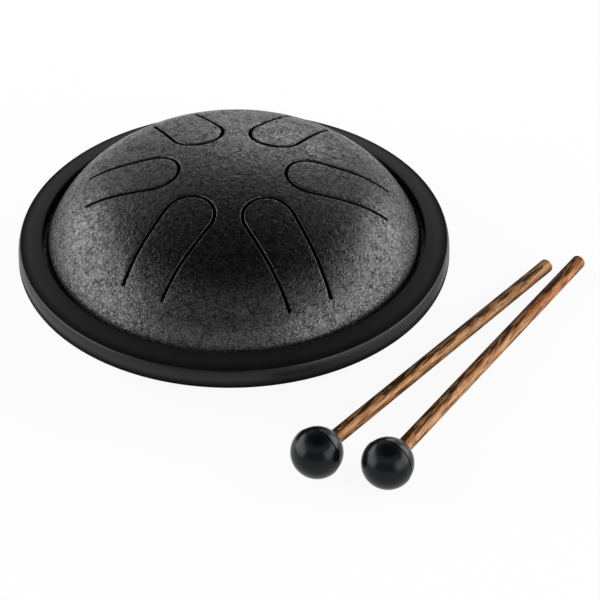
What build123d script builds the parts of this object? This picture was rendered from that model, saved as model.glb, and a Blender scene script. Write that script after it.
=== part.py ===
from build123d import *
import os
from math import acos, asin, atan2, cos, degrees, hypot, pi, radians, sin, sqrt, tan

# Small six-tongue steel drum with a rubber edge ring, three push-in feet and a pair of mallets.
# Millimetres, +Z up. The origin is on the drum's axis, on the surface that the feet stand on.
# +X runs along the first tongue, and the other tongues follow anticlockwise, seen from above.

# Edge ring: its upper and lower faces fall softly crowned from the lips to the outer wall
ring_radius = 90.0
ring_height = 8.2
ring_width = 10.2
ring_lip_rise = 2.7
ring_crown = 0.4
ring_wall = 4.7
ring_edge_round = 1.3
ring_lip_round = 0.5
ring_seat_clearance = 0.3

# Sheet steel shells and the flanges that they meet on
sheet = 1.2
flange_bend = 1.5
groove_gap = 2.6

# Tongue shell: a crown, a round shoulder and a short upright wall
crown_rise = 40.2
crown_drop = 23.0
shoulder_radius = 46.0
wall_height = 3.6
wall_bend = 3.0

# Tongues: the slot's middle line, with a round tip near the axis and square ends at the root
slot_width = 1.4
tip_distance = 22.2
tip_half_width = 10.8
root_half_width = 9.5

# How far each tongue's root stops short of the wall, the shorter the tongue the higher its note
first_root_gap = 13.0
second_root_gap = 19.4
third_root_gap = 23.0
fourth_root_gap = 16.8
fifth_root_gap = 9.5
sixth_root_gap = 7.2

# Base shell: a shallow pan with a sound port
pan_depth = 22.0
pan_wall_run = 15.2
pan_knuckle = 14.0
port_radius = 20.0

# Push-in rubber feet
foot_count = 3
foot_height = 5.0
foot_inset = 16.0
foot_top_radius = 7.0
foot_bottom_radius = 6.2
foot_round = 0.8
foot_neck_radius = 2.3
foot_hole_clearance = 0.1
foot_barb_radius = 3.6
foot_barb_tip_radius = 1.6
foot_barb_height = 4.0

# Mallets: a ball moulded in two halves on a tapered stick
head_radius = 11.0
head_rear_step = 0.3
head_seam_width = 0.7
head_seam_depth = 0.45
bore_past_centre = 4.0
bore_clearance = 0.05
stick_reach = 165.5
stick_head_radius = 3.25
stick_tail_radius = 2.95
stick_tail_round = 0.6
stick_nose_chamfer = 0.5

# Where the mallets lie beside the drum: the left one past the ring, the right one beside the left
mallet_heading = 56.8
mallet_ring_gap = 6.5
mallet_head_back = 74.2
mallet_head_spread = 27.3
mallet_tail_spread = 9.5
mallet_stagger = 11.0

# Extra length of every cutting tool
cut_overrun = 5.0

# Heights and radii that follow from the sizes above
joint_z = foot_height + pan_depth
upper_flange_z = joint_z + sheet
lower_flange_z = joint_z - sheet
ring_lip_radius = ring_radius - ring_width
flange_radius = ring_radius - ring_wall - ring_seat_clearance
wall_radius = ring_lip_radius - groove_gap
pan_floor_radius = wall_radius - pan_wall_run
foot_circle = pan_floor_radius - foot_inset
crown_top_z = upper_flange_z + crown_rise


def dome_centres():
    """Centre and end angle of the crown, the shoulder and the wall bend, which meet in tangents."""
    crown_radius = (wall_radius**2 + crown_drop**2) / (2 * crown_drop)
    crown_z = crown_top_z - crown_radius
    bend_x = wall_radius - wall_bend
    bend_z = upper_flange_z + wall_height
    to_bend = hypot(bend_x, bend_z - crown_z)
    to_shoulder = crown_radius - shoulder_radius
    shoulder_to_bend = shoulder_radius - wall_bend
    opening = acos((to_shoulder**2 + to_bend**2 - shoulder_to_bend**2) / (2 * to_shoulder * to_bend))
    crown_end = atan2(bend_z - crown_z, bend_x) + opening
    shoulder_x = to_shoulder * cos(crown_end)
    shoulder_z = crown_z + to_shoulder * sin(crown_end)
    shoulder_end = atan2(bend_z - shoulder_z, bend_x - shoulder_x)
    return (
        ((0, crown_z), crown_radius, pi / 2, crown_end),
        ((shoulder_x, shoulder_z), shoulder_radius, crown_end, shoulder_end),
        ((bend_x, bend_z), wall_bend, shoulder_end, 0),
    )


def dome_line(inset):
    """Arcs from the top of the crown down to the upright wall, on the face that lies inset deep."""
    for centre, radius, start, end in dome_centres():
        last = CenterArc(centre, radius - inset, degrees(start), degrees(end - start))
    return last


# Tongue shell
tongue_root_gaps = (
    first_root_gap,
    second_root_gap,
    third_root_gap,
    fourth_root_gap,
    fifth_root_gap,
    sixth_root_gap,
)
with BuildPart() as tongue_shell:
    with BuildSketch(Plane.XZ) as dome_section:
        with BuildLine():
            outer_end = dome_line(0) @ 1
            inner_end = dome_line(sheet) @ 1
            Polyline(
                outer_end,
                (wall_radius, upper_flange_z),
                (flange_radius, upper_flange_z),
                (flange_radius, joint_z),
                (wall_radius - sheet, joint_z),
                inner_end,
            )
            Line((0, crown_top_z - sheet), (0, crown_top_z))
        make_face()
        corners = dome_section.vertices().group_by(Axis.Y)
        fillet(corners[1].sort_by(Axis.X)[0], flange_bend)
        fillet(corners[0].sort_by(Axis.X)[0], flange_bend + sheet)
    revolve(axis=Axis.Z)
    for number, root_gap in enumerate(tongue_root_gaps):
        turn = 360 / len(tongue_root_gaps) * number
        root = wall_radius - root_gap
        with BuildSketch(Plane.XY.offset(crown_top_z + cut_overrun).rotated((0, 0, turn))):
            with BuildLine():
                tip_x = tip_distance + tip_half_width
                root_x = root - tip_x
                spread = hypot(root_x, root_half_width)
                touch = atan2(root_half_width, root_x) + acos(tip_half_width / spread)
                touch_x = tip_x + tip_half_width * cos(touch)
                touch_y = tip_half_width * sin(touch)
                Line((root, root_half_width), (touch_x, touch_y))
                ThreePointArc((touch_x, touch_y), (tip_distance, 0), (touch_x, -touch_y))
                Line((touch_x, -touch_y), (root, -root_half_width))
            trace(line_width=slot_width)
        extrude(amount=-(crown_rise + cut_overrun), mode=Mode.SUBTRACT)
tongue_shell.part.label = "tongue_shell"

# Base shell
pan_slope = atan2(lower_flange_z - foot_height, wall_radius - pan_floor_radius)
pan_shift = sheet * tan(pan_slope / 2)
foot_turns = [90 + 360 / foot_count * number for number in range(foot_count)]
with BuildPart() as base_shell:
    with BuildSketch(Plane.XZ) as pan_section:
        with BuildLine():
            Polyline(
                (port_radius, foot_height),
                (pan_floor_radius, foot_height),
                (wall_radius, lower_flange_z),
                (flange_radius, lower_flange_z),
                (flange_radius, joint_z),
                (wall_radius - pan_shift, joint_z),
                (pan_floor_radius - pan_shift, foot_height + sheet),
                (port_radius, foot_height + sheet),
                close=True,
            )
        make_face()
        levels = pan_section.vertices().group_by(Axis.Y)
        fillet(levels[0].sort_by(Axis.X)[-1], pan_knuckle)
        fillet(levels[1].sort_by(Axis.X)[-1], pan_knuckle - sheet)
        fillet(levels[-2].sort_by(Axis.X)[0], flange_bend)
        fillet(levels[-1].sort_by(Axis.X)[0], flange_bend + sheet)
    revolve(axis=Axis.Z)
    with BuildSketch(Plane.XY.offset(foot_height - cut_overrun)):
        with PolarLocations(foot_circle, foot_count, start_angle=foot_turns[0]):
            Circle(foot_neck_radius + foot_hole_clearance)
    extrude(amount=sheet + 2 * cut_overrun, mode=Mode.SUBTRACT)
base_shell.part.label = "base_shell"

# Edge ring: a channel whose two lips close on the flanges
with BuildPart() as edge_ring:
    with BuildSketch(Plane.XZ) as ring_section:
        edge = ring_height / 2
        lip = edge + ring_lip_rise
        face_radius = ring_radius - ring_width / 2
        face = (edge + lip) / 2 + ring_crown
        with BuildLine():
            Line((ring_radius, joint_z - edge), (ring_radius, joint_z + edge))
            ThreePointArc(
                (ring_radius, joint_z + edge),
                (face_radius, joint_z + face),
                (ring_lip_radius, joint_z + lip),
            )
            Line((ring_lip_radius, joint_z + lip), (ring_lip_radius, joint_z - lip))
            ThreePointArc(
                (ring_lip_radius, joint_z - lip),
                (face_radius, joint_z - face),
                (ring_radius, joint_z - edge),
            )
        make_face()
        rims = ring_section.vertices().group_by(Axis.X)
        fillet(rims[-1], ring_edge_round)
        fillet(rims[0], ring_lip_round)
        seat_depth = flange_radius + ring_seat_clearance - ring_lip_radius
        with Locations((ring_lip_radius + seat_depth / 2, joint_z)):
            Rectangle(seat_depth, 2 * sheet, mode=Mode.SUBTRACT)
    revolve(axis=Axis.Z)
edge_ring.part.label = "edge_ring"


def push_in_foot(turn):
    """A rubber foot under the pan, with its neck in a hole and its barb on the pan's inside."""
    x = foot_circle * cos(radians(turn))
    y = foot_circle * sin(radians(turn))
    floor_z = foot_height + sheet
    with BuildPart() as foot:
        with BuildSketch(Plane((x, y, 0), x_dir=(1, 0, 0), z_dir=(0, -1, 0))) as foot_section:
            with BuildLine():
                Polyline(
                    (0, 0),
                    (foot_bottom_radius, 0),
                    (foot_top_radius, foot_height),
                    (foot_neck_radius, foot_height),
                    (foot_neck_radius, floor_z),
                    (foot_barb_radius, floor_z),
                    (foot_barb_tip_radius, floor_z + foot_barb_height),
                    (0, floor_z + foot_barb_height),
                    close=True,
                )
            make_face()
            fillet(foot_section.vertices().group_by(Axis.Y)[0].sort_by(Axis.X)[-1], foot_round)
        revolve(axis=Axis((x, y, 0), (0, 0, 1)))
    return foot.part


def mallet_plane(aside, ahead, turn):
    """Plane through the ball's centre whose X runs down the sloping stick, both ends on the table.

    aside and ahead place the ball across and along the left mallet's heading, from the drum's axis,
    and turn is added to that heading.
    """
    slope = asin((head_radius - stick_tail_radius) / stick_reach)
    left = radians(mallet_heading)
    own = left + turn
    return Plane(
        (
            aside * sin(left) + ahead * cos(left),
            ahead * sin(left) - aside * cos(left),
            head_radius,
        ),
        x_dir=(cos(slope) * cos(own), cos(slope) * sin(own), -sin(slope)),
        z_dir=(sin(own), -cos(own), 0),
    )


def mallet_head(plane):
    """A rubber ball: a front half, a seam, a slightly smaller rear half and a blind bore."""
    rear_radius = head_radius - head_rear_step
    bore_radius = stick_head_radius + bore_clearance
    seam = head_seam_width / 2
    front_rim = sqrt(head_radius**2 - seam**2)
    rear_rim = sqrt(rear_radius**2 - seam**2)
    mouth = sqrt(rear_radius**2 - bore_radius**2)
    with BuildPart() as head:
        with BuildSketch(plane):
            with BuildLine():
                RadiusArc((-head_radius, 0), (-seam, front_rim), head_radius)
                Polyline((-seam, front_rim), (0, rear_radius - head_seam_depth), (seam, rear_rim))
                RadiusArc((seam, rear_rim), (mouth, bore_radius), rear_radius)
                Polyline(
                    (mouth, bore_radius),
                    (-bore_past_centre, bore_radius),
                    (-bore_past_centre, 0),
                    (-head_radius, 0),
                )
            make_face()
        revolve(axis=Axis(plane.origin, plane.x_dir))
    return head.part


def mallet_stick(plane):
    """A wooden stick: straight in the ball's bore, then tapering to a softly rounded tail."""
    mouth = sqrt(head_radius**2 - stick_head_radius**2)
    with BuildPart() as stick:
        with BuildSketch(plane) as stick_section:
            with BuildLine():
                Polyline(
                    (-bore_past_centre, 0),
                    (-bore_past_centre, stick_head_radius),
                    (mouth, stick_head_radius),
                    (stick_reach, stick_tail_radius),
                    (stick_reach, 0),
                    close=True,
                )
            make_face()
            ends = stick_section.vertices().group_by(Axis.X)
            chamfer(ends[0].sort_by(Axis.Y)[-1], stick_nose_chamfer)
            fillet(ends[-1].sort_by(Axis.Y)[-1], stick_tail_round)
        revolve(axis=Axis(plane.origin, plane.x_dir))
    return stick.part


pieces = [tongue_shell.part, base_shell.part, edge_ring.part]
for name, turn in zip(("rear_foot", "left_foot", "right_foot"), foot_turns):
    foot = push_in_foot(turn)
    foot.label = name
    pieces.append(foot)
left_aside = ring_radius + mallet_ring_gap
closing = asin((mallet_head_spread - mallet_tail_spread) / stick_reach)
mallet_places = {
    "left_mallet": mallet_plane(left_aside, -mallet_head_back, 0),
    "right_mallet": mallet_plane(
        left_aside + mallet_head_spread, mallet_stagger - mallet_head_back, closing
    ),
}
for name, plane in mallet_places.items():
    head = mallet_head(plane)
    head.label = name + "_head"
    stick = mallet_stick(plane)
    stick.label = name + "_stick"
    pieces += [head, stick]

os.makedirs("parts", exist_ok=True)
for piece in pieces:
    export_step(piece, "parts/" + piece.label + ".step")
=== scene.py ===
from collections import namedtuple
from math import acos, asin, atan2, cos, hypot, pi, radians, sin, sqrt, tan

import bmesh
import bpy
import numpy as np
from mathutils import Matrix, Vector


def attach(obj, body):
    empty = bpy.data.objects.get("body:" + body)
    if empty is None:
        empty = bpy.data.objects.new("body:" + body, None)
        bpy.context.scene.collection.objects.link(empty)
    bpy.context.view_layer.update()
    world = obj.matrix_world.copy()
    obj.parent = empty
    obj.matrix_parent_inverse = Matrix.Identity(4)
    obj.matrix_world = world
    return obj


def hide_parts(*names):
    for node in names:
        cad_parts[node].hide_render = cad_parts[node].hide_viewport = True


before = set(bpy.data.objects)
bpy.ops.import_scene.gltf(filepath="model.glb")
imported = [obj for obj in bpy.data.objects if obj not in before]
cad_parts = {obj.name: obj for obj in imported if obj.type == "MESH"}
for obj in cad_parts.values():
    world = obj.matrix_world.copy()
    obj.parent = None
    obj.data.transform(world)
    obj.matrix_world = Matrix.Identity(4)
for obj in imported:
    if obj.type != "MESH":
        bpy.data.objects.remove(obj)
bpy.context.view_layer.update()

# Sizes are in millimetres, as the solids have them, and meshes are written in metres
MM = 0.001
weld_distance = 0.004
crease_angle = 38.0

# Edge ring
ring_radius = 90.0
ring_height = 8.2
ring_width = 10.2
ring_lip_rise = 2.7
ring_crown = 0.4
ring_wall = 4.7
ring_barrel = 0.8
ring_edge_round = 1.3
ring_lip_round = 0.5
ring_seat_clearance = 0.3

# Sheet steel shells
sheet = 1.2
flange_bend = 1.5
flange_rim_round = 0.2
groove_gap = 2.6
crown_rise = 40.2
crown_drop = 23.0
shoulder_radius = 46.0
wall_height = 3.6
wall_bend = 3.0
pan_depth = 22.0
pan_wall_run = 15.2
pan_knuckle = 14.0
port_radius = 20.0
port_edge_round = 0.3

# Tongues
slot_width = 1.4
slot_edge_round = 0.5
tip_distance = 22.2
tip_half_width = 10.8
root_half_width = 9.5
root_gaps = (13.0, 19.4, 23.0, 16.8, 9.5, 7.2)

# Feet
foot_height = 5.0
foot_inset = 16.0
foot_top_radius = 7.0
foot_bottom_radius = 6.2
foot_round = 0.8
foot_neck_radius = 2.3
foot_barb_radius = 3.6
foot_barb_tip_radius = 1.6
foot_barb_height = 4.0

# Mallets
head_radius = 11.0
head_rear_step = 0.3
head_seam_width = 0.7
head_seam_depth = 0.45
bore_past_centre = 4.0
bore_radius = 3.3
stick_reach = 165.5
stick_head_radius = 3.25
stick_tail_radius = 2.95
stick_tail_round = 0.6
stick_nose_chamfer = 0.5
mallet_heading = radians(56.8)
mallet_ring_gap = 6.5
mallet_head_back = 74.2
mallet_head_spread = 27.3
mallet_tail_spread = 9.5
mallet_stagger = 11.0

# Heights and radii that follow
joint_z = foot_height + pan_depth
upper_flange_z = joint_z + sheet
lower_flange_z = joint_z - sheet
ring_lip_radius = ring_radius - ring_width
flange_radius = ring_radius - ring_wall - ring_seat_clearance
wall_radius = ring_lip_radius - groove_gap
pan_floor_radius = wall_radius - pan_wall_run
foot_circle = pan_floor_radius - foot_inset
crown_radius = (wall_radius**2 + crown_drop**2) / (2 * crown_drop)
crown_z = upper_flange_z + crown_rise - crown_radius
bend_x = wall_radius - wall_bend
bend_z = upper_flange_z + wall_height

# How finely the surfaces are divided
arc_rows = 14
leg_rows = 18
rim_rows = 5
edge_shares = np.array([0.12, 0.32, 0.62, 1.0])
slot_columns = 4
tongue_columns = 8
land_columns = 12
dome_edge_radius = 73.0
shoulder_steps = 6
inner_shoulder_steps = 5
bend_steps = 12
inner_bend_steps = 10
corner_steps = 9
ring_face_steps = 7
ball_front_steps = 48
ball_rear_steps = 40
turn_steps = 240
ball_turn_steps = 144
small_turn_steps = 72
angle_digits = 8


# Meshes

def arc(x, y, radius, start, end, steps):
    """Points on a circle round (x, y), from the start angle to the end angle."""
    angle = np.linspace(start, end, steps)
    return np.stack([x + radius * np.cos(angle), y + radius * np.sin(angle)], axis=-1)


def rounded(corners, rounds):
    """Closed outline through corners, each turned into the arc that touches both its sides.

    The arc's centre lies on the corner's bisector, and its points sweep evenly from one touching
    point to the other. A corner with no round gives one point many times over, which is welded.
    """
    corner = np.array(corners, float)
    radius = np.array(rounds, float)[:, None]
    before = np.roll(corner, 1, axis=0) - corner
    after = np.roll(corner, -1, axis=0) - corner
    before /= np.linalg.norm(before, axis=1, keepdims=True)
    after /= np.linalg.norm(after, axis=1, keepdims=True)
    half = np.arccos((before * after).sum(axis=1, keepdims=True)) / 2
    reach = radius / np.tan(half)
    middle = before + after
    middle /= np.linalg.norm(middle, axis=1, keepdims=True)
    centre = corner + middle * radius / np.sin(half)
    first = corner + before * reach - centre
    last = corner + after * reach - centre
    sweep = pi - 2 * half
    share = np.linspace(0, 1, corner_steps)[None, :, None]
    swept = np.sin((1 - share) * sweep[:, None]) * first[:, None]
    swept = (swept + np.sin(share * sweep[:, None]) * last[:, None]) / np.sin(sweep)[:, None]
    return (centre[:, None] + swept).reshape(-1, 2)


def grid_faces(index):
    """Four-cornered faces between the neighbours of a grid of point numbers."""
    faces = np.stack([index[:-1, :-1], index[1:, :-1], index[1:, 1:], index[:-1, 1:]], axis=-1)
    return faces.reshape(-1, 4)


def turned(profile, angles):
    """Points and faces of a profile of (radius, height) carried round the Z axis."""
    radius, height = np.array(profile, float).T
    x = radius[:, None] * np.cos(angles)
    y = radius[:, None] * np.sin(angles)
    z = np.broadcast_to(height[:, None], x.shape)
    points = np.stack([x, y, z], axis=-1)
    faces = grid_faces(np.arange(x.size).reshape(x.shape))
    return points.reshape(-1, 3), faces


def full_turn(steps):
    """Angles of a whole turn, whose last one meets the first."""
    return np.linspace(0, 2 * pi, steps + 1)


def closed(outline):
    """An outline that ends where it starts."""
    return np.concatenate([outline, outline[:1]])


def make_piece(name, points, faces, body, finish, node):
    """One welded, smooth piece that rides on a body and stands for a node.

    Points that no face uses are left out, points that fall together are welded, faces turn outwards,
    and edges sharper than the crease angle stay crisp.
    """
    used, faces = np.unique(faces, return_inverse=True)
    mesh = bpy.data.meshes.new(name)
    mesh.from_pydata(points[used] * MM, [], faces.reshape(-1, 4))
    shape = bmesh.new()
    shape.from_mesh(mesh)
    bmesh.ops.remove_doubles(shape, verts=shape.verts, dist=weld_distance * MM)
    bmesh.ops.recalc_face_normals(shape, faces=shape.faces)
    shape.to_mesh(mesh)
    shape.free()
    mesh.shade_smooth()
    mesh.set_sharp_from_angle(angle=radians(crease_angle))
    mesh.materials.append(finish)
    piece = bpy.data.objects.new(name, mesh)
    bpy.context.scene.collection.objects.link(piece)
    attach(piece, body)
    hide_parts(node)


# Tongue shell

Arc = namedtuple("Arc", "x z radius start end")


def dome_arcs():
    """The arcs of the crown, the shoulder and the wall bend: centre, radius, first and last angle.

    The three arcs meet in tangents: the triangle of their centres has sides that are differences of
    their radii, and the angle that it opens at the crown's centre gives where the crown ends.
    """
    to_bend = hypot(bend_x, bend_z - crown_z)
    to_shoulder = crown_radius - shoulder_radius
    shoulder_to_bend = shoulder_radius - wall_bend
    opening = acos((to_shoulder**2 + to_bend**2 - shoulder_to_bend**2) / (2 * to_shoulder * to_bend))
    crown_end = atan2(bend_z - crown_z, bend_x) + opening
    shoulder_x = to_shoulder * cos(crown_end)
    shoulder_z = crown_z + to_shoulder * sin(crown_end)
    shoulder_end = atan2(bend_z - shoulder_z, bend_x - shoulder_x)
    return (
        Arc(0, crown_z, crown_radius, pi / 2, crown_end),
        Arc(shoulder_x, shoulder_z, shoulder_radius, crown_end, shoulder_end),
        Arc(bend_x, bend_z, wall_bend, shoulder_end, 0),
    )


def dome_height(plan_radius, inset):
    """Height of the dome's face that lies inset deep: on the crown's circle, then the shoulder's."""
    crown, shoulder, _ = dome_arcs()
    crown_circle = crown.radius - inset
    shoulder_circle = shoulder.radius - inset
    on_crown = crown.z + np.sqrt(crown_circle**2 - plan_radius**2)
    on_shoulder = shoulder.z + np.sqrt(shoulder_circle**2 - (plan_radius - shoulder.x) ** 2)
    return np.where(plan_radius < crown_circle * cos(crown.end), on_crown, on_shoulder)


def tongue_sector(root):
    """Plan of half a tongue's sector, in the tongue's own axes, and each point's way to the slot.

    Rows follow the slot's middle line: round the tip, along the leg, past its square end and on to
    the dome's edge. Columns lie at set distances to both sides of that line, close together by the
    slot, then in even shares to the tongue's axis on one side and, on the other, to the ray between
    two tongues. The last row is pushed out to the circle of the dome's edge.
    """
    half = slot_width / 2
    steps = slot_edge_round * edge_shares
    aside = np.concatenate([-half - steps[::-1], np.linspace(-half, half, slot_columns + 1), half + steps])

    tip_x = tip_distance + tip_half_width
    spread = hypot(root - tip_x, root_half_width)
    touch = atan2(root_half_width, root - tip_x) + acos(tip_half_width / spread)
    leg = sqrt(spread**2 - tip_half_width**2)
    normal = np.array([cos(touch), sin(touch)])
    along = np.array([sin(touch), -cos(touch)])

    round_tip = np.linspace(pi, touch, arc_rows + 1)[:, None]
    tip_reach = tip_half_width + aside
    tip = np.stack([tip_x + tip_reach * np.cos(round_tip), tip_reach * np.sin(round_tip)], axis=-1)

    leg_start = np.array([tip_x, 0]) + tip_reach[:, None] * normal
    forward = leg_start @ along
    to_edge = np.sqrt(dome_edge_radius**2 - (leg_start**2).sum(axis=1) + forward**2) - forward
    rim_share = np.linspace(0, 1, rim_rows + 1)[1:]
    near_end = leg + slot_edge_round
    walked = np.concatenate([leg * np.linspace(0, 1, leg_rows + 1)[1:], leg + steps])
    walked = np.broadcast_to(walked[:, None], (walked.size, aside.size))
    outward = near_end + rim_share[:, None] * (to_edge - near_end)
    walked = np.concatenate([walked, outward])
    band = np.concatenate([tip, leg_start + walked[..., None] * along])

    root_row = arc_rows + leg_rows
    rows = band.shape[0]
    length = np.concatenate([np.linspace(0, tip_half_width * (pi - touch), arc_rows + 1), walked[:, 0]])
    length[arc_rows + 1:] += length[arc_rows]
    axis_share = np.minimum(length / length[root_row], 1)
    axis_x = band[0, 0, 0] + axis_share * (band[root_row, 0, 0] - band[0, 0, 0])
    axis_x[root_row:] = band[root_row:, 0, 0]
    axis = np.stack([axis_x, np.zeros(rows)], axis=-1)[:, None]
    across = np.linspace(0, 1, tongue_columns + 1)[:-1, None]
    tongue = axis + across * (band[:, :1] - axis)

    ray_stops = [0, arc_rows, root_row, rows - 1]
    ray_radius = np.interp(np.arange(rows), ray_stops, [0, tip_x, tip_x + leg, dome_edge_radius])
    ray_turn = pi / len(root_gaps)
    ray = (ray_radius[:, None] * [cos(ray_turn), sin(ray_turn)])[:, None]
    across = np.linspace(0, 1, land_columns + 1)[1:, None]
    land = band[:, -1:] + across * (ray - band[:, -1:])

    plan = np.concatenate([tongue, band, land], axis=1)
    edge = plan[-1]
    pushed = dome_edge_radius * edge / np.linalg.norm(edge, axis=-1, keepdims=True) - edge
    push_share = np.concatenate([np.zeros(rows - rim_rows), rim_share])
    plan = plan + push_share[:, None, None] * pushed

    past = np.concatenate([np.zeros(root_row + 1), steps, np.full(rim_rows, slot_edge_round)])
    beside = np.full(plan.shape[1], slot_edge_round)
    beside[tongue_columns:tongue_columns + aside.size] = np.maximum(np.abs(aside) - half, 0)
    return plan, np.hypot(past[:, None], beside)


def sector_faces(rows, columns):
    """Faces of half a sector: the outer face and the inner face without the slot, and its walls."""
    outer = np.arange(rows * columns).reshape(rows, columns)
    inner = outer + outer.size
    root_row = arc_rows + leg_rows
    slot_start = tongue_columns + edge_shares.size
    slot_end = slot_start + slot_columns
    faces = []
    for index in (outer, inner):
        faces.append(grid_faces(index[:, :slot_start + 1]))
        faces.append(grid_faces(index[root_row:, slot_start:slot_end + 1]))
        faces.append(grid_faces(index[:, slot_end:]))
    layers = np.stack([outer, inner])
    faces.append(grid_faces(layers[:, :root_row + 1, slot_start]))
    faces.append(grid_faces(layers[:, :root_row + 1, slot_end]))
    faces.append(grid_faces(layers[:, root_row, slot_start:slot_end + 1]))
    return np.concatenate(faces)


def dome_rim(angles):
    """The shell from the dome's edge outwards: shoulder, wall bend, wall, flange, and back inside."""
    _, shoulder, bend = dome_arcs()
    inner_shoulder = shoulder.radius - sheet
    start = acos((dome_edge_radius - shoulder.x) / shoulder.radius)
    inner_start = acos((dome_edge_radius - shoulder.x) / inner_shoulder)
    foot = rounded(
        [
            (wall_radius, bend_z),
            (wall_radius, upper_flange_z),
            (flange_radius, upper_flange_z),
            (flange_radius, joint_z),
            (wall_radius - sheet, joint_z),
            (wall_radius - sheet, bend_z),
        ],
        [0, flange_bend, flange_rim_round, flange_rim_round, flange_bend + sheet, 0],
    )
    profile = np.concatenate([
        arc(shoulder.x, shoulder.z, shoulder.radius, start, shoulder.end, shoulder_steps),
        arc(bend.x, bend.z, bend.radius, bend.start, bend.end, bend_steps),
        foot,
        arc(bend.x, bend.z, bend.radius - sheet, bend.end, bend.start, inner_bend_steps),
        arc(shoulder.x, shoulder.z, inner_shoulder, shoulder.end, inner_start, inner_shoulder_steps),
    ])
    return turned(profile, angles)


def tongue_shell(finish):
    """The dome: six sectors, each mirrored about its tongue's axis, welded to the turned rim.

    The outer face sinks by a quarter circle within the edge round's reach of a slot.
    """
    plans = []
    gaps = []
    for root_gap in root_gaps:
        plan, gap = tongue_sector(wall_radius - root_gap)
        plans.append(plan)
        gaps.append(gap)
    plan = np.array(plans)[:, None] * np.array([[1, 1], [1, -1]])[:, None, None]
    gap = np.array(gaps)[:, None]
    turn = (2 * pi / len(root_gaps) * np.arange(len(root_gaps)))[:, None, None, None]
    x = plan[..., 0] * np.cos(turn) - plan[..., 1] * np.sin(turn)
    y = plan[..., 0] * np.sin(turn) + plan[..., 1] * np.cos(turn)
    radius = np.hypot(x, y)
    lean = np.maximum(slot_edge_round - gap, 0)
    sunk = slot_edge_round - np.sqrt(slot_edge_round**2 - lean**2)
    outer = np.stack([x, y, dome_height(radius, 0) - sunk], axis=-1)
    inner = np.stack([x, y, dome_height(radius, sheet)], axis=-1)
    points = np.stack([outer, inner], axis=2)
    sectors, sides, layers, rows, columns, _ = points.shape
    starts = layers * rows * columns * np.arange(sectors * sides)
    faces = (starts[:, None, None] + sector_faces(rows, columns)).reshape(-1, 4)
    points = points.reshape(-1, 3)
    angles = np.unique(np.round(np.arctan2(y[:, :, -1], x[:, :, -1]), angle_digits))
    angles = np.append(angles, angles[0] + 2 * pi)
    rim_points, rim_faces = dome_rim(angles)
    faces = np.concatenate([faces, rim_faces + len(points)])
    points = np.concatenate([points, rim_points])
    make_piece("drum_dome", points, faces, "drum", finish, "tongue_shell")


# Base shell, ring and feet

def base_shell(finish):
    """The pan: a closed outline round the sheet, from the sound port out to the flange, turned."""
    slope = atan2(lower_flange_z - foot_height, wall_radius - pan_floor_radius)
    shift = sheet * tan(slope / 2)
    outline = rounded(
        [
            (port_radius, foot_height),
            (pan_floor_radius, foot_height),
            (wall_radius, lower_flange_z),
            (flange_radius, lower_flange_z),
            (flange_radius, joint_z),
            (wall_radius - shift, joint_z),
            (pan_floor_radius - shift, foot_height + sheet),
            (port_radius, foot_height + sheet),
        ],
        [
            port_edge_round,
            pan_knuckle,
            flange_bend,
            flange_rim_round,
            flange_rim_round,
            flange_bend + sheet,
            pan_knuckle - sheet,
            port_edge_round,
        ],
    )
    points, faces = turned(closed(outline), full_turn(turn_steps))
    make_piece("drum_pan", points, faces, "drum", finish, "base_shell")


def edge_ring(finish):
    """The rubber ring: a channel whose crowned faces fall from its lips to its outer wall, turned.

    A face stands over the straight line from lip to edge by 4 crown u (1 - u), where u is the share
    of the way outwards. The wall stands straight below the joint and draws in above it by the barrel
    times v squared, where v is the share of the way up. The outline runs out along the lower face, up
    the wall and back along the upper face.
    """
    share = np.linspace(0, 1, ring_face_steps)
    radius = ring_lip_radius + share * ring_width
    upper_radius = radius - share * ring_barrel
    up = share[:-1]
    wall = np.stack([ring_radius - ring_barrel * up**2, joint_z + ring_height / 2 * up], axis=-1)
    face = ring_height / 2 + ring_lip_rise * (1 - share) + 4 * ring_crown * share * (1 - share)
    seat = flange_radius + ring_seat_clearance
    corners = np.concatenate([
        np.stack([radius, joint_z - face], axis=-1),
        wall,
        np.stack([upper_radius, joint_z + face], axis=-1)[::-1],
        [
            (ring_lip_radius, upper_flange_z),
            (seat, upper_flange_z),
            (seat, lower_flange_z),
            (ring_lip_radius, lower_flange_z),
        ],
    ])
    rounds = np.zeros(len(corners))
    upper_edge = ring_face_steps + len(wall)
    rounds[[0, upper_edge + ring_face_steps - 1]] = ring_lip_round
    rounds[[ring_face_steps - 1, upper_edge]] = ring_edge_round
    points, faces = turned(closed(rounded(corners, rounds)), full_turn(turn_steps))
    make_piece("drum_edge_ring", points, faces, "drum", finish, "edge_ring")


def push_in_foot(name, turn, finish):
    """A rubber foot: the profile of its pad, neck and barb, turned and set under the pan."""
    floor_z = foot_height + sheet
    profile = rounded(
        [
            (0, 0),
            (foot_bottom_radius, 0),
            (foot_top_radius, foot_height),
            (foot_neck_radius, foot_height),
            (foot_neck_radius, floor_z),
            (foot_barb_radius, floor_z),
            (foot_barb_tip_radius, floor_z + foot_barb_height),
            (0, floor_z + foot_barb_height),
        ],
        [0, foot_round, 0, 0, 0, 0, 0, 0],
    )
    points, faces = turned(profile, full_turn(small_turn_steps))
    points += [foot_circle * cos(turn), foot_circle * sin(turn), 0]
    make_piece(name + "_pad", points, faces, "drum", finish, name)


# Mallets

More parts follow.
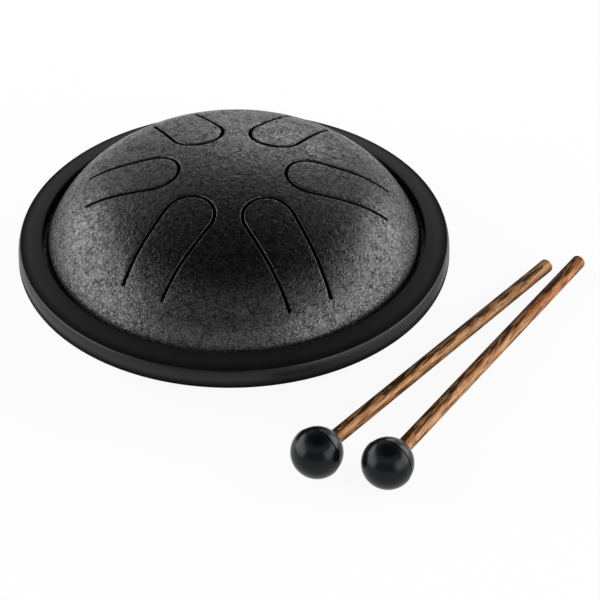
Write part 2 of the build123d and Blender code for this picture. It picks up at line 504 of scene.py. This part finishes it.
def mallet_place(aside, ahead, turn):
    """Matrix whose Z axis runs from the ball's centre down the sloping stick, both on the floor."""
    slope = asin((head_radius - stick_tail_radius) / stick_reach)
    own = mallet_heading + turn
    centre = (
        aside * sin(mallet_heading) + ahead * cos(mallet_heading),
        ahead * sin(mallet_heading) - aside * cos(mallet_heading),
        head_radius,
    )
    stick = Vector((cos(slope) * cos(own), cos(slope) * sin(own), -sin(slope)))
    level = Vector((sin(own), -cos(own), 0))
    upper = stick.cross(level)
    return Matrix.Translation(centre) @ Matrix((level, upper, stick)).transposed().to_4x4()


def placed(points, place):
    """Points of a mallet's own axes, moved to where it lies."""
    turn = np.array(place.to_3x3())
    return points @ turn.T + np.array(place.translation)


def mallet_head(name, place, finish):
    """The ball's profile, turned: a front half, a seam, a slightly smaller rear half and the bore."""
    rear_radius = head_radius - head_rear_step
    seam = head_seam_width / 2
    front_end = asin(seam / head_radius)
    rear_end = asin(seam / rear_radius)
    mouth = asin(sqrt(rear_radius**2 - bore_radius**2) / rear_radius)
    profile = np.concatenate([
        arc(0, 0, head_radius, -pi / 2, -front_end, ball_front_steps),
        [(rear_radius - head_seam_depth, 0)],
        arc(0, 0, rear_radius, rear_end, mouth, ball_rear_steps),
        [(bore_radius, -bore_past_centre), (0, -bore_past_centre)],
    ])
    points, faces = turned(profile, full_turn(ball_turn_steps))
    points = placed(points, place)
    make_piece(name + "_ball", points, faces, name, finish, name + "_head")


def mallet_stick(name, place, finish):
    """The stick's profile, turned: straight in the bore, then a taper to a softly rounded tail."""
    mouth = sqrt(head_radius**2 - stick_head_radius**2)
    profile = rounded(
        [
            (0, -bore_past_centre),
            (stick_head_radius - stick_nose_chamfer, -bore_past_centre),
            (stick_head_radius, -bore_past_centre + stick_nose_chamfer),
            (stick_head_radius, mouth),
            (stick_tail_radius, stick_reach),
            (0, stick_reach),
        ],
        [0, 0, 0, 0, stick_tail_round, 0],
    )
    points, faces = turned(profile, full_turn(small_turn_steps))
    points = placed(points, place)
    make_piece(name + "_shaft", points, faces, name, finish, name + "_stick")


# Finishes

dull_roughness = 0.9


class Socket:
    """An output socket of a node tree. Sums of sockets and numbers add Math nodes to the tree."""

    def __init__(self, output):
        self.output = output

    def node(self, kind, settings, inputs, result=0):
        """Adds a node: its settings first, then numbers, colours or sockets for its inputs."""
        tree = self.output.id_data
        made = tree.nodes.new(kind)
        for name, value in settings.items():
            if name == "stops":
                set_stops(made.color_ramp, value)
            else:
                setattr(made, name, value)
        for name, value in inputs.items():
            if isinstance(value, Socket):
                tree.links.new(value.output, made.inputs[name])
            else:
                made.inputs[name].default_value = value
        return Socket(made.outputs[result]) if made.outputs else None

    def math(self, operation, first, second=0.0):
        """What a Math node makes of one or two numbers or sockets."""
        return self.node("ShaderNodeMath", {"operation": operation}, {0: first, 1: second})

    def __add__(self, other):
        return self.math("ADD", self, other)

    def __radd__(self, other):
        return self.math("ADD", other, self)

    def __sub__(self, other):
        return self.math("SUBTRACT", self, other)

    def __rsub__(self, other):
        return self.math("SUBTRACT", other, self)

    def __mul__(self, other):
        return self.math("MULTIPLY", self, other)

    def __rmul__(self, other):
        return self.math("MULTIPLY", other, self)

    def mix(self, first, second, blend="MIX"):
        """Colour between two colours, with this socket as the share of the second."""
        settings = {"data_type": "RGBA", "blend_type": blend}
        return self.node("ShaderNodeMix", settings, {0: self, 6: first, 7: second}, 2)

    def between(self, low, high):
        """This value's way from low to high, eased at both ends, as a number from 0 to 1."""
        inputs = {"Value": self, "From Min": low, "From Max": high, "To Min": 0.0, "To Max": 1.0}
        return self.node("ShaderNodeMapRange", {"interpolation_type": "SMOOTHSTEP"}, inputs)

    def noise(self, scale, detail=2.0, roughness=0.5, result="Fac"):
        """Soft noise over these coordinates, with so many features to a metre."""
        inputs = {"Vector": self, "Scale": scale, "Detail": detail, "Roughness": roughness}
        return self.node("ShaderNodeTexNoise", {}, inputs, result)

    def cracks(self, scale):
        """Distance to the nearest crack between cells, with so many cells to a metre."""
        settings = {"feature": "DISTANCE_TO_EDGE"}
        return self.node("ShaderNodeTexVoronoi", settings, {"Vector": self, "Scale": scale})

    def bump(self, distance):
        """Normals of a surface that this height raises by so many millimetres."""
        inputs = {"Height": self, "Distance": distance * MM, "Strength": 1.0}
        return self.node("ShaderNodeBump", {}, inputs)

    def coordinate(self, axis):
        """One of these coordinates: X, Y or Z."""
        return self.node("ShaderNodeSeparateXYZ", {}, {0: self}, axis)

    def toward(self, other, share):
        """These coordinates, moved by a set share of the way to others."""
        return self.node("ShaderNodeMix", {"data_type": "VECTOR"}, {0: share, 4: self, 5: other}, 1)

    def from_axis(self):
        """Distance of these coordinates from the Z axis: the length of (x, y, 0)."""
        inputs = {0: self, 1: (1, 1, 0)}
        level = self.node("ShaderNodeVectorMath", {"operation": "MULTIPLY"}, inputs)
        return self.node("ShaderNodeVectorMath", {"operation": "LENGTH"}, {0: level}, "Value")

    def own_axes(self, centre, turn):
        """These coordinates in the axes of a piece with this centre, in millimetres, and turn."""
        inputs = {"Vector": self, "Location": centre * MM, "Rotation": turn.to_euler()}
        return self.node("ShaderNodeMapping", {"vector_type": "TEXTURE"}, inputs)

    def principled(self, inputs):
        """A Principled surface that takes these inputs."""
        return self.node("ShaderNodeBsdfPrincipled", {}, inputs)


def set_stops(ramp, stops):
    """Gives a colour ramp its stops, each a place and a colour."""
    while len(ramp.elements) < len(stops):
        ramp.elements.new(1.0)
    for element, (place, colour) in zip(ramp.elements, stops):
        element.position = place
        element.color = colour


def start_finish(name):
    """A new material and the socket of its pieces' Object coordinates, in metres."""
    material = bpy.data.materials.new(name)
    material.use_nodes = True
    material.node_tree.nodes.clear()
    coordinates = material.node_tree.nodes.new("ShaderNodeTexCoord")
    return material, Socket(coordinates.outputs["Object"])


def end_finish(surface):
    """Closes a material with this surface."""
    surface.node("ShaderNodeOutputMaterial", {}, {"Surface": surface})


def end_mixed_finish(share, first, second):
    """Closes a material with two surfaces, where share says how much of the second shows."""
    end_finish(share.node("ShaderNodeMixShader", {}, {0: share, 1: first, 2: second}))


def dull(colour):
    """A surface of this colour without any gloss."""
    inputs = {"Base Color": colour, "Roughness": dull_roughness, "Specular IOR Level": 0.0}
    return colour.principled(inputs)


# Wrinkle coat: features to a metre, ranges and shares of its noises, depth and radii in millimetres
wander_scale = 420.0
hill_scale = 620.0
hill_wander = 0.005
crease_scale = 560.0
crease_wander = 0.0042
crease_reach = 0.16
crease_height = 0.15
# Painted shade: creases, and less so hollows, lose their gloss and darken; broad patches vary how much
crease_shade_share = 0.45
patch_scale = 240.0
patch_range = (0.38, 0.62)
patch_shade_share = 0.4
hollow_range = (0.54, 0.36)
hollow_shade_share = 0.35
coat_depth = 0.22
coat_roughness = 0.22
coat_patch_roughness = 0.1
coat_gloss = 0.66
# The darker coat colour goes to the hollows, as painted shade
coat_colours_with_hollow_shade = ((0.001, 0.001, 0.0011, 1), (0.004, 0.004, 0.0042, 1))
crease_shade_colours = ((0.0004, 0.0004, 0.0004, 1), (0.0012, 0.0012, 0.0013, 1))
# Painted sheen: a paler grey on the coat at the dome's foot, just above the joint
painted_foot_sheen_colours = ((0.02, 0.02, 0.021, 1), (0.08, 0.08, 0.082, 1))
foot_sheen_start = 71.0
foot_sheen_end = 75.8
above_joint = (0.2, 1.2)


def wrinkle_coat():
    """Black wrinkle powder coat: fine hills that glint, parted by thin creases darkened as painted shade.

    One noise makes the coordinates wander, more for the hills than for the creases. Broad patches say how
    much painted shade the creases get, the hollows are darker and glint less as painted shade, and the
    coat turns a paler grey towards the dome's foot as a painted sheen.
    """
    material, place = start_finish("wrinkle_coat")
    wander = place.noise(wander_scale, result="Color")
    creases = place.toward(wander, crease_wander).cracks(crease_scale).between(0.0, crease_reach)
    hills = place.toward(wander, hill_wander).noise(hill_scale)
    patches = place.noise(patch_scale).between(*patch_range)
    hollows = hills.between(*hollow_range)
    # Painted shade: creases and hollows show the dark glossless surface in place of the gloss
    crease_shade = (1.0 - creases) * (crease_shade_share + patch_shade_share * patches)
    shine = (1.0 - crease_shade) * (1.0 - hollow_shade_share * hollows)
    height = hills + crease_height * creases
    # Painted sheen: the paler grey at the dome's foot
    low, high = [(joint_z + rise) * MM for rise in above_joint]
    foot = place.from_axis().between(foot_sheen_start * MM, foot_sheen_end * MM)
    foot = foot * place.coordinate("Z").between(low, high)
    gloss = place.principled({
        "Base Color": foot.mix(hills.mix(*coat_colours_with_hollow_shade), hills.mix(*painted_foot_sheen_colours)),
        "Roughness": coat_roughness + coat_patch_roughness * patches,
        "Normal": height.bump(coat_depth),
        "Specular IOR Level": coat_gloss,
    })
    end_mixed_finish(shine, dull(hills.mix(*crease_shade_colours)), gloss)
    return material


# Rubber: features to a metre, depths, radii and heights in millimetres
rubber_cloud_scale = 90.0
rubber_cloud_detail = 3.0
rubber_grain_scale = 2600.0
rubber_tint = (0.88, 0.95, 1.0, 1)

ring_grain_depth = 0.02
ring_gloss = 0.34
ring_roughness = 0.56
ring_cloud_roughness = 0.1
ring_wall_smoothing = 0.24
ring_colours = ((0.0006, 0.0006, 0.0006, 1), (0.0018, 0.0018, 0.0019, 1))
# Painted shade: the glossless surface takes over at the ring's outer edge and low on its wall; on the
# faces a share of it is the rubber's own matte
ring_matte_and_shade_colours = ((0.002, 0.002, 0.002, 1), (0.004, 0.004, 0.0042, 1))
ring_face_matte = 0.42
ring_edge_painted_shade = 0.46
ring_edge_start = 85.0
ring_edge_end = 88.8
ring_wall_start = 88.9
ring_wall_end = 89.3
ring_wall_bottom = 23.5
ring_wall_top = 27.8

foot_grain_depth = 0.03
foot_gloss = 0.32
foot_roughness = 0.5
foot_cloud_roughness = 0.1
foot_colours = ((0.003, 0.0035, 0.0042, 1), (0.005, 0.005, 0.0053, 1))

ball_cloud_scale = 160.0
ball_cloud_softness = 0.6
ball_grain_depth = 0.01
ball_gloss = 0.2
ball_roughness = 0.14
ball_cloud_roughness = 0.2
ball_colours = ((0.0018, 0.0022, 0.0028, 1), (0.003, 0.0035, 0.0042, 1))
# Painted shade: the seam groove turns dark and glossless
ball_seam_shade_colours = ((0.0006, 0.0006, 0.0006, 1), (0.001, 0.001, 0.001, 1))
ball_seam_shade_share = 0.9
ball_seam_edge = 0.6
ball_seam_core = 0.35


def ring_rubber():
    """Black rubber of the edge ring: matte faces, painted shade on the outer edge and low on the wall, and
    a smoother upper wall.
    """
    material, place = start_finish("ring_rubber")
    cloud = place.noise(rubber_cloud_scale, rubber_cloud_detail)
    grain = place.noise(rubber_grain_scale)
    outward = place.from_axis()
    wall = place.coordinate("Z").between(ring_wall_bottom * MM, ring_wall_top * MM)
    wall = wall * outward.between(ring_wall_start * MM, ring_wall_end * MM)
    edge = outward.between(ring_edge_start * MM, ring_edge_end * MM)
    # Painted shade at the outer edge and darker towards the bottom of the wall, over the faces' own matte
    # share
    matte_and_painted_shade = (ring_face_matte + ring_edge_painted_shade * edge) * (1.0 - wall)
    rubber = place.principled({
        "Base Color": cloud.mix(*ring_colours),
        "Roughness": ring_roughness + ring_cloud_roughness * cloud - ring_wall_smoothing * wall,
        "Normal": grain.bump(ring_grain_depth),
        "Specular IOR Level": ring_gloss,
    })
    end_mixed_finish(matte_and_painted_shade, rubber, dull(cloud.mix(*ring_matte_and_shade_colours)))
    return material


def foot_rubber():
    """Black moulded rubber of the feet: a faint cloud in colour and gloss, and a very fine grain."""
    material, place = start_finish("foot_rubber")
    cloud = place.noise(rubber_cloud_scale, rubber_cloud_detail)
    grain = place.noise(rubber_grain_scale)
    end_finish(place.principled({
        "Base Color": cloud.mix(*foot_colours),
        "Roughness": foot_roughness + foot_cloud_roughness * cloud,
        "Normal": grain.bump(foot_grain_depth),
        "Specular IOR Level": foot_gloss,
        "Specular Tint": rubber_tint,
    }))
    return material


def ball_rubber(name, mallet):
    """Satin black rubber of a mallet's ball, a little scuffed, with its seam groove darkened as painted
    shade.
    """
    material, place = start_finish(name)
    own = place.own_axes(mallet.translation, mallet)
    # Painted shade in the seam groove
    seam = own.math("ABSOLUTE", own.coordinate("Z")).between(ball_seam_edge * MM, ball_seam_core * MM)
    cloud = own.noise(ball_cloud_scale, rubber_cloud_detail, ball_cloud_softness)
    grain = own.noise(rubber_grain_scale)
    rubber = place.principled({
        "Base Color": cloud.mix(*ball_colours),
        "Roughness": ball_roughness + ball_cloud_roughness * cloud,
        "Normal": grain.bump(ball_grain_depth),
        "Specular IOR Level": ball_gloss,
        "Specular Tint": rubber_tint,
    })
    end_mixed_finish(ball_seam_shade_share * seam, rubber, dull(cloud.mix(*ball_seam_shade_colours)))
    return material


# Stick wood: features to a metre, ranges and shares of its noises and of the painted shading across the
# stick, lengths in millimetres
# Turn of the painted shading about the stick's axis, which sets its lit and shaded sides
shading_lean = radians(35.8)
streak_slant = radians(-4.0)
streak_stretch = 0.075
figure_scale = 260.0
figure_fray = 1.6
feather_scale = 1100.0
thread_scale = 1800.0
thread_detail = 1.0
thread_fray = 2.0
dark_thread_range = (0.5, 0.4)
dark_thread_share = 0.35
dark_thread_shade_share = 0.25
dark_thread_colour = (0.09, 0.034, 0.01, 1)
pale_thread_range = (0.55, 0.65)
pale_thread_across = (0.3, 0.6)
pale_thread_share = 0.4
pale_thread_colour = (0.68, 0.42, 0.24, 1)
near_shade_across = (0.58, 0.3)
far_shade_across = (0.68, 0.95)
far_shade_share = 0.8
streak_range = (0.55, 0.58)
streak_shade_gain = 0.09
streak_share = 0.5
streak_shade_share = 0.45
streak_colour = (0.026, 0.0085, 0.0015, 1)
red_start = 80.0
red_end = 150.0
red_tint = (0.84, 0.69, 0.58, 1)
wood_depth = 0.03
wood_relief = 0.5
wood_gloss = 0.03
wood_roughness = 0.45
streak_roughness = 0.1
# Ramp stops across the stick: the wood's brown, with a painted highlight in the pale middle and painted
# shade at the dark sides
left_wood_and_shading = (
    (0.0, (0.2, 0.12, 0.055, 1)),
    (0.3, (0.25, 0.12, 0.04, 1)),
    (0.46, (0.3, 0.135, 0.048, 1)),
    (0.59, (0.46, 0.245, 0.12, 1)),
    (0.67, (0.53, 0.29, 0.148, 1)),
    (0.8, (0.34, 0.15, 0.056, 1)),
    (0.95, (0.13, 0.048, 0.013, 1)),
)
right_wood_and_shading = (
    (0.0, (0.15, 0.086, 0.038, 1)),
    (0.3, (0.25, 0.106, 0.03, 1)),
    (0.46, (0.29, 0.12, 0.044, 1)),
    (0.58, (0.35, 0.17, 0.08, 1)),
    (0.7, (0.44, 0.228, 0.116, 1)),
    (0.84, (0.38, 0.195, 0.095, 1)),
    (1.0, (0.17, 0.075, 0.028, 1)),
)
left_grain_shift = (0.0, 0.0, 0.0)
right_grain_shift = (0.3, 0.1, 0.2)
left_streak_gain = 0.0
right_streak_gain = -0.01
left_redness = 0.0
right_redness = 1.0


def streaked_wood(name, mallet, grain_shift, layers, streak_gain, redness):
    """Oiled brown wood with painted light across the stick: a ramp from dark to pale and back, frayed by
    fine streaks and threads.

    The ramp runs across the stick, turned about its axis, and its place is the share of the way across the
    stick: its pale middle is a painted highlight and its dark sides are painted shade, on the wood's
    brown. More dark threads and streaks crowd on the shaded side, as painted shade. The streaks run a
    little aslant to it, and the brown turns redder towards the tail.
    """
    material, place = start_finish(name)
    shading_turn = mallet.to_3x3() @ Matrix.Rotation(shading_lean, 3, "Z")
    streak_turn = shading_turn @ Matrix.Rotation(streak_slant, 3, "Y")
    flat = place.own_axes(mallet.translation, shading_turn)
    slanted = place.own_axes(mallet.translation, streak_turn)
    stretch = {"Vector": slanted, "Location": grain_shift, "Scale": (1, 1, streak_stretch)}
    grain = slanted.node("ShaderNodeMapping", {"vector_type": "POINT"}, stretch)
    figure = grain.noise(figure_scale)
    feathers = grain.noise(feather_scale)
    threads = grain.noise(thread_scale, thread_detail)

    frayed = flat.coordinate("X") + figure_fray * MM * (figure - 0.5) + thread_fray * MM * (threads - 0.5)
    across_share = frayed * (0.5 / (stick_head_radius * MM)) + 0.5
    # Painted shade on one side of the stick, where more dark threads and streaks crowd
    shaded = across_share.between(*near_shade_across) + far_shade_share * across_share.between(*far_shade_across)
    dark_thread = threads.between(*dark_thread_range)
    pale_thread = threads.between(*pale_thread_range) * across_share.between(*pale_thread_across)
    streak = (feathers + streak_shade_gain * shaded + streak_gain).between(*streak_range)

    # Painted highlight and shade across the stick, on the wood's brown
    wood = across_share.node("ShaderNodeValToRGB", {"stops": layers}, {"Fac": across_share})
    wood = (pale_thread_share * pale_thread).mix(wood, pale_thread_colour)
    dark_share = dark_thread * (dark_thread_share + dark_thread_shade_share * shaded)
    wood = dark_share.mix(wood, dark_thread_colour)
    wood = (streak * (streak_share + streak_shade_share * shaded)).mix(wood, streak_colour)
    red = flat.coordinate("Z").between(red_start * MM, red_end * MM) * redness
    wood = red.mix(wood, red_tint, "MULTIPLY")
    height = wood_relief * threads - wood_relief * streak
    end_finish(place.principled({
        "Base Color": wood,
        "Roughness": wood_roughness + streak_roughness * streak,
        "Normal": height.bump(wood_depth),
        "Specular IOR Level": wood_gloss,
    }))
    return material


# Studio: lengths of the floor in metres, brightness of the sky by the sine of the elevation
floor_reach = 12.0
floor_whiteness = 0.92
floor_cloud_scale = 3.0
floor_cloud_detail = 1.0
floor_cloud_smoothing = 0.1
floor_roughness = 0.9
floor_gloss = 0.1
floor_colours = ((0.87, 0.87, 0.87, 1), (0.89, 0.89, 0.89, 1))
# Painted shadow: a dark disc on the floor under the drum, fading out between the two radii
painted_shadow_colour = (0.04, 0.04, 0.04, 1)
painted_shadow_radius = 0.03
painted_shadow_end_radius = 0.055
back_sky = ((0.0, 0.9), (0.4, 0.9), (0.62, 0.52), (0.76, 0.2), (0.88, 0.05), (0.95, 0.02))
front_sky = ((0.0, 0.35), (0.5, 0.35), (0.68, 0.9), (0.78, 0.9), (0.9, 0.1), (0.97, 0.02))
front_sky_start = 0.1
front_sky_end = -0.5

# Lamps: azimuth and elevation in degrees, width and height in metres, and radiance
lamp_distance = 2.0
lamps = {
    "left_soft_box": (174.0, 18.0, 3.4, 1.6, 3.9),
    "right_soft_box": (18.0, 15.0, 2.4, 1.32, 4.0),
    "rear_soft_box": (86.0, 18.0, 0.7, 0.52, 2.9),
    "front_soft_box": (-35.0, 15.0, 1.3, 1.2, 3.6),
}

# Camera: lengths in millimetres, as the photograph's outline gives them
camera_distance = 2603.954
camera_elevation = radians(37.21)
camera_turn = radians(3.975)
camera_roll = radians(0.647)
camera_aim = (29.656, -40.773)
camera_sensor = 36.0
camera_far = 100000.0
focal_pixels = 6239.83
image_pixels = 600


def pale_floor():
    """A wide pale floor under the object, which shows mostly white and keeps a soft shadow.

    Under the drum it is painted dark, a painted shadow that also keeps any light from showing through the
    sound port and the slots.
    """
    reach = floor_reach
    mesh = bpy.data.meshes.new("studio_floor")
    corners = [(-reach, -reach, 0), (reach, -reach, 0), (reach, reach, 0), (-reach, reach, 0)]
    mesh.from_pydata(corners, [], [(0, 1, 2, 3)])
    material, place = start_finish("pale_floor")
    cloud = place.noise(floor_cloud_scale, floor_cloud_detail)
    # Painted shadow under the drum, where the floor's white also fades out
    clear = place.from_axis().between(painted_shadow_radius, painted_shadow_end_radius)
    surface = place.principled({
        "Base Color": clear.mix(painted_shadow_colour, cloud.mix(*floor_colours)),
        "Roughness": floor_roughness - floor_cloud_smoothing * cloud,
        "Specular IOR Level": floor_gloss,
    })
    white = place.node("ShaderNodeEmission", {}, {"Color": (1, 1, 1, 1), "Strength": 1.0})
    camera_ray = place.node("ShaderNodeLightPath", {}, {}, "Is Camera Ray")
    glossy_ray = place.node("ShaderNodeLightPath", {}, {}, "Is Glossy Ray")
    glass_ray = place.node("ShaderNodeLightPath", {}, {}, "Is Transmission Ray")
    seen = place.math("MINIMUM", camera_ray + glossy_ray + glass_ray, 1.0)
    end_mixed_finish(floor_whiteness * clear * seen, surface, white)
    mesh.materials.append(material)
    floor = bpy.data.objects.new("studio_floor", mesh)
    bpy.context.scene.collection.objects.link(floor)


def grey_stops(steps):
    """Ramp stops of plain greys, from pairs of a place and a brightness."""
    return [(place, (grey, grey, grey, 1)) for place, grey in steps]


def studio_sky():
    """Soft light all round: bright near the horizon, dim overhead, reaching higher in front."""
    world = bpy.data.worlds.new("studio_sky")
    bpy.context.scene.world = world
    world.use_nodes = True
    tree = world.node_tree
    tree.nodes.clear()
    direction = Socket(tree.nodes.new("ShaderNodeTexCoord").outputs["Generated"])
    rise = direction.coordinate("Z")
    behind = rise.node("ShaderNodeValToRGB", {"stops": grey_stops(back_sky)}, {"Fac": rise})
    before = rise.node("ShaderNodeValToRGB", {"stops": grey_stops(front_sky)}, {"Fac": rise})
    in_front = direction.coordinate("Y").between(front_sky_start, front_sky_end)
    light = in_front.mix(behind, before)
    background = light.node("ShaderNodeBackground", {}, {"Color": light, "Strength": 1.0})
    background.node("ShaderNodeOutputWorld", {}, {"Surface": background})


def soft_box(name, azimuth, elevation, width, height, radiance):
    """A rectangular lamp that faces the drum, seen from it at this azimuth and elevation."""
    lamp = bpy.data.lights.new(name, "AREA")
    lamp.shape = "RECTANGLE"
    lamp.size = width
    lamp.size_y = height
    lamp.energy = radiance * pi * width * height
    away = Vector((
        cos(radians(elevation)) * cos(radians(azimuth)),
        cos(radians(elevation)) * sin(radians(azimuth)),
        sin(radians(elevation)),
    ))
    holder = bpy.data.objects.new(name, lamp)
    holder.location = away * lamp_distance
    holder.rotation_mode = "QUATERNION"
    holder.rotation_quaternion = away.to_track_quat("Z", "Y")
    holder.visible_camera = False
    bpy.context.scene.collection.objects.link(holder)


def photo_camera():
    """The photograph's viewpoint: a long lens, a little to the right, looking down on the drum."""
    edge_z = joint_z + ring_height / 2
    level = camera_distance * cos(camera_elevation)
    place = Vector((
        level * sin(camera_turn),
        -level * cos(camera_turn),
        camera_distance * sin(camera_elevation) + edge_z,
    )) * MM
    aim = Vector((*camera_aim, edge_z)) * MM
    forward = (aim - place).normalized()
    right = forward.cross(Vector((0, 0, 1))).normalized()
    upright = Matrix((right, right.cross(forward), -forward)).transposed()
    rolled = Matrix.Rotation(camera_roll, 3, forward) @ upright
    lens = bpy.data.cameras.new("photo_camera")
    lens.sensor_width = camera_sensor
    lens.lens = focal_pixels / image_pixels * camera_sensor
    lens.clip_end = camera_far * MM
    camera = bpy.data.objects.new("photo_camera", lens)
    camera.matrix_world = Matrix.Translation(place) @ rolled.to_4x4()
    bpy.context.scene.collection.objects.link(camera)
    bpy.context.scene.camera = camera


# The drum
coat = wrinkle_coat()
ring_finish = ring_rubber()
foot_finish = foot_rubber()
tongue_shell(coat)
base_shell(coat)
edge_ring(ring_finish)
for number, foot_name in enumerate(("rear_foot", "left_foot", "right_foot")):
    push_in_foot(foot_name, pi / 2 + 2 * pi / 3 * number, foot_finish)

# The mallets
left_aside = ring_radius + mallet_ring_gap
closing = asin((mallet_head_spread - mallet_tail_spread) / stick_reach)
left_place = mallet_place(left_aside, -mallet_head_back, 0)
right_place = mallet_place(left_aside + mallet_head_spread, mallet_stagger - mallet_head_back, closing)
left_wood = streaked_wood(
    "left_stick_wood", left_place, left_grain_shift, left_wood_and_shading, left_streak_gain, left_redness
)
right_wood = streaked_wood(
    "right_stick_wood", right_place, right_grain_shift, right_wood_and_shading, right_streak_gain, right_redness
)
for mallet_name, mallet, wood in (
    ("left_mallet", left_place, left_wood),
    ("right_mallet", right_place, right_wood),
):
    mallet_head(mallet_name, mallet, ball_rubber(mallet_name + "_rubber", mallet))
    mallet_stick(mallet_name, mallet, wood)

# Floor, light and camera
pale_floor()
studio_sky()
for lamp_name, lamp_values in lamps.items():
    soft_box(lamp_name, *lamp_values)
photo_camera()
bpy.context.scene.view_settings.view_transform = "Standard"
